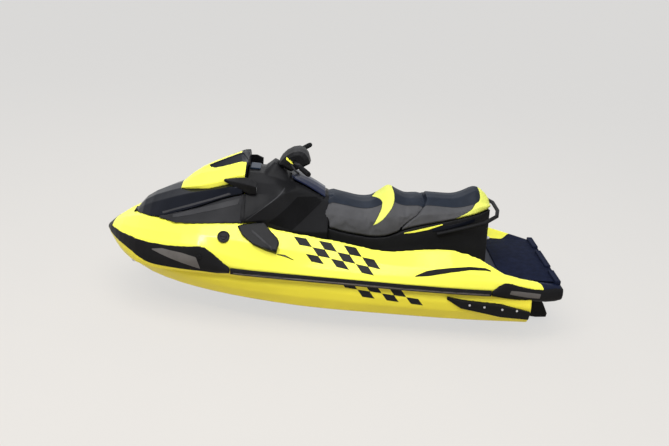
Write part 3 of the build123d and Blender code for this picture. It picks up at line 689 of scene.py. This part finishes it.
fuelCap = {
    "place": (0.776, 0.518, 0.684), "normal": (0.0, 0.7071, 0.7071), "radius": 0.043, "height": 0.030, "proud": 0.007,
    "steps": [(0.0075, 0.0), (0.0025, -0.005), (0.010, 0.0), (0.002, 0.0035)], "grip": (0.040, 0.009, 0.009),
    "gripLift": 0.0045,
}
deckNormal = Vector(fuelCap["normal"])
capCentre = Vector(fuelCap["place"]) + deckNormal * (fuelCap["proud"] - fuelCap["height"] / 2)
cap = disc("fuelCapBody", capCentre, fuelCap["radius"], fuelCap["height"], deckNormal, 64)
stepped(cap, deckNormal, fuelCap["steps"])
bevelled(cap, 0.0012, 2, 40)
shadedByAngle(cap)
finishPiece(cap, ventBlack, bodyOf["fuel_cap"])
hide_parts("fuel_cap")
capBar = block("fuelCapGrip", Vector(fuelCap["place"]) + deckNormal * fuelCap["gripLift"], fuelCap["grip"],
               deckNormal.to_track_quat("Z", "Y").to_euler())
bevelled(capBar, 0.0028, 3, 40)
finishPiece(capBar, blackMoulding, "craft")
print("deck dressed")

# ---- side vents: a pressed crease between two swells, and a lighter strip along it as a painted highlight
ventShape = {"from": (0.610, 0.745), "to": (0.420, 0.625), "depth": 0.0100, "width": 0.020, "swell": 0.0065,
             "swellAt": 0.040, "swellWidth": 0.035}


def ventCrease(co, normal):
    start, stop = Vector(ventShape["from"]), Vector(ventShape["to"])
    spot = Vector((co.x, co.z))
    run = stop - start
    share = max(0.0, min(1.0, (spot - start).dot(run) / run.length_squared))
    gap = (spot - start - run * share).length
    facing = max(0.0, abs(normal.y) * 0.7071 + normal.z * 0.7071)
    fall = max(0.0, 1 - gap / ventShape["width"])
    swell = max(0.0, 1 - abs(gap - ventShape["swellAt"]) / ventShape["swellWidth"])
    return normal * facing * (swell * ventShape["swell"] - fall * fall * ventShape["depth"])


for side, end in sides:
    pushed(made["vent_" + end.lower()], ventCrease)
# a charcoal strip along the crease, lighter than the black vent: a painted highlight
ventRib = {"low": [(0.585, 0.726), (0.520, 0.686), (0.445, 0.640)],
           "high": [(0.592, 0.742), (0.522, 0.704), (0.440, 0.652)]}
bothSides("ventRib", ventRib["low"], ventRib["high"], (made["vent_left"], made["vent_right"]), charcoalPanel, "craft",
          "charcoal", lift=0.0016, cells=(24, 3))
print("vents dressed")

# ---- console: matt knee panels, a lighter strip along a crease as a painted highlight, and the fillers between it and the side panels
kneePanel = {"low": [(0.317, 0.711), (0.486, 0.765)], "high": [(0.082, 0.884), (0.290, 0.915)]}
bothSides("kneePanel", kneePanel["low"], kneePanel["high"], made["console"], kneeMatte, "craft", "black_moulding",
          lift=0.0016, cells=(24, 16))
# a charcoal strip along the crease, lighter than the black console: a painted highlight
kneeCrease = {
    "low": [(0.636, 0.779), (0.545, 0.850), (0.465, 0.908), (0.385, 0.965)],
    "high": [(0.630, 0.790), (0.541, 0.860), (0.460, 0.919), (0.380, 0.976)],
}
bothSides("kneeCrease", kneeCrease["low"], kneeCrease["high"], made["console"], charcoalPanel, "craft", "charcoal",
          lift=0.0010, cells=(40, 2))
filler = {"front": 0.676, "rear": 0.650, "overlap": 0.004, "low": 0.778, "high": 0.940, "panelTop": 0.927,
          "thick": 0.010}
for side, end in sides:
    node = "side_panel_" + end.lower()
    deselect()
    bpy.ops.mesh.primitive_grid_add(x_subdivisions=5, y_subdivisions=16, size=2)
    piece = bpy.context.active_object
    piece.name = "panelFiller" + end
    for vert in piece.data.vertices:
        across, up = (vert.co.x + 1) / 2, (vert.co.y + 1) / 2
        z = filler["low"] + (filler["high"] - filler["low"]) * up
        ahead = reach(made[node], side, filler["front"] + filler["overlap"], min(z, filler["panelTop"]))
        behind = reach(made["console"], side, filler["rear"] - filler["overlap"], z)
        if ahead is None or behind is None:
            print(piece.name, "has no edge to meet at", round(z, 3))
            ahead = behind = ahead or behind or side * 0.40
        vert.co = (filler["rear"] + (filler["front"] - filler["rear"]) * across, behind + (ahead - behind) * across, z)
    piece.data.update()
    turnOutward(piece, (0, side, 0))
    modify(piece, "DISPLACE", strength=0.0012, mid_level=0.0)
    modify(piece, "SOLIDIFY", thickness=filler["thick"], offset=-1.0)
    bevelled(piece, 0.001, 1, 50)
    shadedByAngle(piece)
    finishPiece(piece, consoleBlack, "craft")

# ---- steering: ribbed grips, switch housings, the accents of the bar cover
steering = {
    "gripFrom": (0.222, 0.388, 1.128), "gripTo": (0.283, 0.243, 1.1294), "ribs": 11, "ribMargin": 0.10,
    "ribRadius": 0.0172, "ribThick": 0.0016, "housing": (0.302, 0.203, 1.130), "housingSize": (0.040, 0.052, 0.034),
    "housingTurn": 22.6, "housingSteps": [(0.009, 0.0), (0.0018, -0.0025)],
    "accentLow": [(0.348, 1.110), (0.390, 1.140)], "accentHigh": [(0.326, 1.113), (0.388, 1.158)],
}
for side, end in sides:
    softenedCopy("grip_" + end.lower(), "gripSleeve" + end, 0.0015, gripRubber)
    outerEnd, innerEnd = Vector(steering["gripFrom"]), Vector(steering["gripTo"])
    run = innerEnd - outerEnd
    turn = Vector((run.x, run.y * side, run.z)).to_track_quat("Z", "Y").to_euler()
    ribs = []
    for number in range(steering["ribs"]):
        share = number / (steering["ribs"] - 1)
        spot = outerEnd.lerp(innerEnd, steering["ribMargin"] + (1 - 2 * steering["ribMargin"]) * share)
        deselect()
        bpy.ops.mesh.primitive_torus_add(major_radius=steering["ribRadius"], minor_radius=steering["ribThick"],
                                         major_segments=28, minor_segments=6, location=(spot.x, spot.y * side, spot.z),
                                         rotation=turn)
        bpy.ops.object.transform_apply(location=True, rotation=True, scale=True)
        ribs.append(bpy.context.active_object)
    joined = join(ribs, "gripRibs" + end)
    pick(joined)
    bpy.ops.object.shade_smooth()
    finishPiece(joined, gripRubber, "handlebar")
    x, y, z = steering["housing"]
    housing = block("switchHousing" + end, (x, side * y, z), steering["housingSize"],
                    (0, 0, side * math.radians(steering["housingTurn"])))
    stepped(housing, Vector((0, 0, 1)), steering["housingSteps"])
    bevelled(housing, 0.006, 3, 60)
    shadedByAngle(housing)
    finishPiece(housing, blackMoulding, "handlebar")
bothSides("padAccent", steering["accentLow"], steering["accentHigh"], made["bar_pad"], limeGel, "handlebar",
          "hull_yellow", lift=0.0016, thick=0.003, cells=(12, 3))
print("steering dressed")

# ---- mirrors: glass that looks aft
glass = {"low": [(0.326, 0.972), (0.352, 0.958)], "high": [(0.324, 1.008), (0.366, 0.999)]}
for side, end in sides:
    low, high = [[(side * y, z) for y, z in glass[edge]] for edge in ("low", "high")]
    layOn("mirrorGlass" + end, low, high, made["mirror_" + end.lower()], mirrorGlass, "hood", "steel", lift=0.0012,
          thick=0.003, cells=(8, 8), aft=True)
print("mirrors dressed")

# ---- seats: padded vinyl, two tones partly painted light, yellow panels
seatPanels = {
    "outer": [(0.729, -0.258), (0.759, -0.312), (0.817, -0.366), (0.878, -0.405), (0.929, -0.414), (1.000, -0.402)],
    "inner": [(0.729, -0.262), (0.805, -0.302), (0.860, -0.322), (0.895, -0.318), (0.913, -0.292), (0.922, -0.238),
              (0.935, -0.140)],
    "rear": [(0.800, -0.845), (0.819, -0.857), (0.873, -0.942), (0.916, -1.001), (0.935, -1.032), (0.974, -1.037),
             (1.010, -1.024)],
    "topHalf": 0.150, "crownSlope": 0.31, "crescentLow": 0.729, "rearFront": -0.845, "seam": 0.0022, "seamLow": 0.735,
}


def seatVinyl(name, yellowKind):
    paint = Paint(name, 0.5, shine=0.10)
    x, y, z = paint.axes()
    half = paint.math("ABSOLUTE", y)
    # two-tone vinyl: the top's blue tint is a painted reflection of the sky, and the side's lighter grey is partly
    # painted sunlight
    side = paint.mottled(colours["vinylSide"], 0.10, 14.0)
    top = paint.mottled(colours["vinylTop"], 0.14, 14.0)
    edge = paint.math("SUBTRACT", half, seatPanels["topHalf"])
    base = paint.mix(paint.math("GREATER_THAN", edge, 0.0), top, side)
    if yellowKind == "crescent":
        # on the crown the crescent follows the height that the side would have there
        inwards = paint.math("MAXIMUM", paint.math("SUBTRACT", seatPanels["topHalf"], half), 0.0)
        height = paint.math("ADD", z, paint.math("MULTIPLY", inwards, seatPanels["crownSlope"]))
        fromOuter = paint.math("SUBTRACT", x, paint.curve(height, seatPanels["outer"], -0.45, -0.10))
        toInner = paint.math("SUBTRACT", paint.curve(height, seatPanels["inner"], -0.45, -0.10), x)
        within = paint.math("MINIMUM", fromOuter, toInner)
        limit = paint.math("GREATER_THAN", z, seatPanels["crescentLow"])
    else:
        within = paint.math("SUBTRACT", paint.curve(z, seatPanels["rear"], -1.10, -0.80), x)
        limit = paint.math("LESS_THAN", x, seatPanels["rearFront"])
    yellow = paint.math("MULTIPLY", paint.math("GREATER_THAN", within, 0.0), limit)
    painted = paint.mix(yellow, base, paint.mottled(colours["seatYellow"], 0.05, 10.0))
    alongTop = paint.math("LESS_THAN", paint.math("ABSOLUTE", edge), seatPanels["seam"])
    alongPanel = paint.math("LESS_THAN", paint.math("ABSOLUTE", within), seatPanels["seam"])
    topSeam = paint.math("MULTIPLY", alongTop, paint.math("SUBTRACT", 1.0, yellow))
    panelSeam = paint.math("MULTIPLY", alongPanel, paint.math("GREATER_THAN", z, seatPanels["seamLow"]))
    seamLine = paint.math("MAXIMUM", panelSeam, topSeam)
    paint.colour(paint.mix(seamLine, painted, colours["seam"]))
    paint.roughness(0.40, 0.56, 6.0)
    leather = paint.add("ShaderNodeTexVoronoi", feature="DISTANCE_TO_EDGE")
    leather.inputs["Scale"].default_value = 420
    paint.link(paint.place, leather.inputs["Vector"])
    paint.bump(leather.outputs["Distance"], 0.22, 0.0006)
    paint.bump(seamLine, -0.7, 0.0014)
    return paint.mat


padding = {"voxel": 0.0062, "cap": 0.009, "shrink": 0.004, "frames": 20, "pressure": 4.0, "mass": 0.3, "stretch": 40,
           "bending": 8}


def paddedSeat(node, name, look):
    # remeshed, blown up a little as cloth with the swelling capped, then smoothed
    pad = mergedCopy(node, name)
    modify(pad, "REMESH", mode="VOXEL", voxel_size=padding["voxel"], use_smooth_shade=True)
    modify(pad, "SMOOTH", factor=0.5, iterations=8)
    modify(pad, "DISPLACE", strength=-padding["shrink"], mid_level=0.0)
    rest = [vert.co.copy() for vert in pad.data.vertices]
    bpy.context.scene.frame_set(1)
    pick(pad)
    cloth = pad.modifiers.new("cloth", "CLOTH")
    cloth.settings.use_pressure = True
    cloth.settings.uniform_pressure_force = padding["pressure"]
    cloth.settings.effector_weights.gravity = 0.0
    cloth.settings.mass = padding["mass"]
    cloth.settings.tension_stiffness = padding["stretch"]
    cloth.settings.compression_stiffness = padding["stretch"]
    cloth.settings.bending_stiffness = padding["bending"]
    cloth.point_cache.frame_end = padding["frames"]
    for number in range(1, padding["frames"] + 1):
        bpy.context.scene.frame_set(number)
    bpy.ops.object.modifier_apply(modifier="cloth")
    for vert, start in zip(pad.data.vertices, rest):
        move = vert.co - start
        if move.length > padding["cap"]:
            vert.co = start + move * (padding["cap"] / move.length)
    pad.data.update()
    bpy.context.scene.frame_set(1)
    modify(pad, "SMOOTH", factor=0.5, iterations=3)
    pick(pad)
    bpy.ops.object.shade_smooth()
    finishPiece(pad, look, bodyOf[node])
    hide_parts(node)


paddedSeat("front_seat", "frontSeatPad", seatVinyl("frontSeatVinyl", "crescent"))
paddedSeat("rear_seat", "rearSeatPad", seatVinyl("rearSeatVinyl", "rear"))

# the thin yellow stripe and the black bracket under the rear seat
seatStripe = {
    "low": [(-0.490, 0.690), (-0.560, 0.700), (-0.660, 0.727), (-0.768, 0.774)],
    "high": [(-0.494, 0.697), (-0.560, 0.718), (-0.660, 0.749), (-0.766, 0.781)],
}
bothSides("seatStripe", seatStripe["low"], seatStripe["high"], made["seat_base"], limeGel, "craft", "hull_yellow",
          lift=0.0020, cells=(30, 2))
bracket = {
    "low": [(-0.690, 0.716), (-0.790, 0.742), (-0.900, 0.772), (-1.000, 0.800)],
    "high": [(-0.706, 0.742), (-0.790, 0.768), (-0.900, 0.800), (-1.000, 0.826)],
}
bothSides("seatBracket", bracket["low"], bracket["high"], made["seat_base"], glossBlack, "craft", "gloss_black",
          lift=0.0040, thick=0.006, cells=(30, 4))
print("seats made")

# ---- floor and light
stageLook = {"floorColour": (0.46, 0.40, 0.32), "floorGlow": (0.86, 0.86, 0.86), "floorLift": 0.72, "size": 400,
             "worldColour": (0.96, 0.98, 1.0), "worldLevel": 0.55, "backdrop": (0.84, 0.85, 0.86)}
deselect()
bpy.ops.mesh.primitive_plane_add(size=stageLook["size"], location=(0, 0, 0))
floor = bpy.context.active_object
floor.name = "floor"
floorPaint = Paint("floorPaint", 0.95)
floorPaint.colour(floorPaint.mottled(stageLook["floorColour"], 0.01, 2.0))
floor.data.materials.append(floorPaint.mat)
glow = floorPaint.add("ShaderNodeEmission")
glow.inputs["Color"].default_value = stageLook["floorGlow"] + (1,)
floorRays = floorPaint.add("ShaderNodeLightPath").outputs
seen = floorPaint.math("MAXIMUM", floorRays["Is Camera Ray"],
                       floorPaint.math("MAXIMUM", floorRays["Is Glossy Ray"], floorRays["Is Transmission Ray"]))
lift = floorPaint.add("ShaderNodeMixShader")
floorPaint.link(floorPaint.math("MULTIPLY", seen, stageLook["floorLift"]), lift.inputs["Fac"])
floorPaint.link(floorPaint.shader.outputs[0], lift.inputs[1])
floorPaint.link(glow.outputs[0], lift.inputs[2])
floorPaint.link(lift.outputs[0], floorPaint.tree.nodes["Material Output"].inputs["Surface"])

world = bpy.data.worlds.new("studio")
bpy.context.scene.world = world
world.use_nodes = True
sky = world.node_tree
skyLight = sky.nodes["Background"]
skyLight.inputs["Color"].default_value = stageLook["worldColour"] + (1,)
skyLight.inputs["Strength"].default_value = stageLook["worldLevel"]
backdrop = sky.nodes.new("ShaderNodeBackground")
backdrop.inputs["Color"].default_value = stageLook["backdrop"] + (1,)
backdrop.inputs["Strength"].default_value = 1.0
rays = sky.nodes.new("ShaderNodeLightPath")
seenBy = rays.outputs["Is Camera Ray"]
for kind in ("Is Glossy Ray", "Is Transmission Ray"):
    either = sky.nodes.new("ShaderNodeMath")
    either.operation = "MAXIMUM"
    sky.links.new(seenBy, either.inputs[0])
    sky.links.new(rays.outputs[kind], either.inputs[1])
    seenBy = either.outputs[0]
blend = sky.nodes.new("ShaderNodeMixShader")
sky.links.new(seenBy, blend.inputs["Fac"])
sky.links.new(skyLight.outputs[0], blend.inputs[1])
sky.links.new(backdrop.outputs[0], blend.inputs[2])
sky.links.new(blend.outputs[0], sky.nodes["World Output"].inputs["Surface"])
lamps = {
    "keyLamp": {"place": (0.9, 2.6, 6.0), "power": 420, "size": 5.0},
    "glintLamp": {"place": (2.6, 3.4, 4.2), "power": 45, "size": 0.6},
    "fillLamp": {"place": (-3.8, 2.6, 3.6), "power": 30, "size": 3.0},
    "backLamp": {"place": (0.5, -4.5, 4.5), "power": 45, "size": 3.0},
}
lampTarget = (0, 0, 0.5)
for name, lamp in lamps.items():
    lampData = bpy.data.lights.new(name, "AREA")
    lampData.energy = lamp["power"]
    lampData.size = lamp["size"]
    lampObject = bpy.data.objects.new(name, lampData)
    bpy.context.scene.collection.objects.link(lampObject)
    lampObject.location = lamp["place"]
    aim = Vector(lampTarget) - Vector(lamp["place"])
    lampObject.rotation_euler = aim.to_track_quat("-Z", "Y").to_euler()
bpy.context.scene.view_settings.view_transform = "Standard"
print("stage set")
